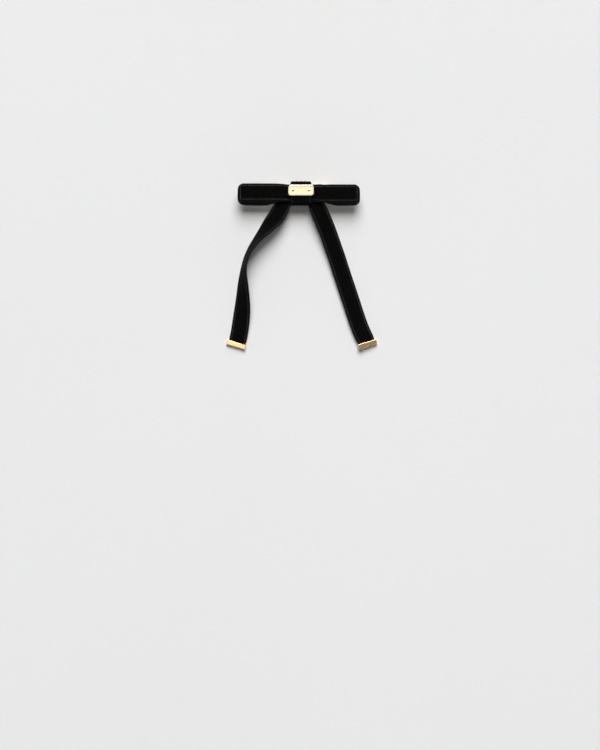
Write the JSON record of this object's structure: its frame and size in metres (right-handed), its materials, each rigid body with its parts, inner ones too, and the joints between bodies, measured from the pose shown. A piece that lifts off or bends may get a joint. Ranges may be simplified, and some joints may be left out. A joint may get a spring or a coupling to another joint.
{
  "type": "hair bow",
  "caption": "Black velvet ribbon hair bow with flat loops, two hanging tails with metal ends, a plain metal plaque on the knot and a sprung clip behind.",
  "frame": {"origin": "on the flat resting face of the clip's lower arm, straight under the middle of the knot", "axes": "+Z out of the front of the bow, away from the hair or table; +X across the loops, towards the jaw of the clip; -Y down the tails"},
  "size_m": [0.1351, 0.1512, 0.0157],
  "materials": {
    "black_velvet": "short black pile with a faint sheen at grazing angles, ribbed grosgrain-like back and woven edges",
    "black_thread": "matt black sewing thread",
    "polished_gold": "pale gold plating, polished, with light handling marks",
    "clip_gold": "stamped sheet with gold-tone plating, satin",
    "spring_steel": "drawn steel wire and pin, dull"
  },
  "bodies": {
    "bow": {"upper_arm": "clip_gold", "clip_spring": "spring_steel", "loop_ribbon": "black_velvet", "left_tuck": "black_velvet", "right_tuck": "black_velvet", "gather_thread": "black_thread", "centre_wrap": "black_velvet", "wrap_stitches": "black_thread", "plaque": "polished_gold", "plaque_rivets": "polished_gold", "plaque_washers": "spring_steel"},
    "lower_jaw": {"lower_arm": "clip_gold", "pivot_pin": "spring_steel"},
    "left_tail": {"left_tail": "black_velvet", "left_ferrule": "polished_gold"},
    "right_tail": {"right_tail": "black_velvet", "right_ferrule": "polished_gold"}
  },
  "joints": [
    {"name": "clip_jaw", "type": "hinge", "parent": "bow", "child": "lower_jaw", "pos_m": [-0.014, 0, 0.004], "axis": [0, 1, 0], "range_deg": [0, 18], "stiffness_Nm_per_rad": 0.3, "springref_deg": -22.92, "deforming": ["clip_spring"]},
    {"name": "left_tail_lift", "type": "hinge", "parent": "bow", "child": "left_tail", "pos_m": [-0.018, -0.0115, 0.0087], "axis": [-1, 0, 0], "range_deg": [0, 75]},
    {"name": "right_tail_lift", "type": "hinge", "parent": "bow", "child": "right_tail", "pos_m": [0.01395, -0.0115, 0.0087], "axis": [-1, 0, 0], "range_deg": [0, 75]}
  ]
}
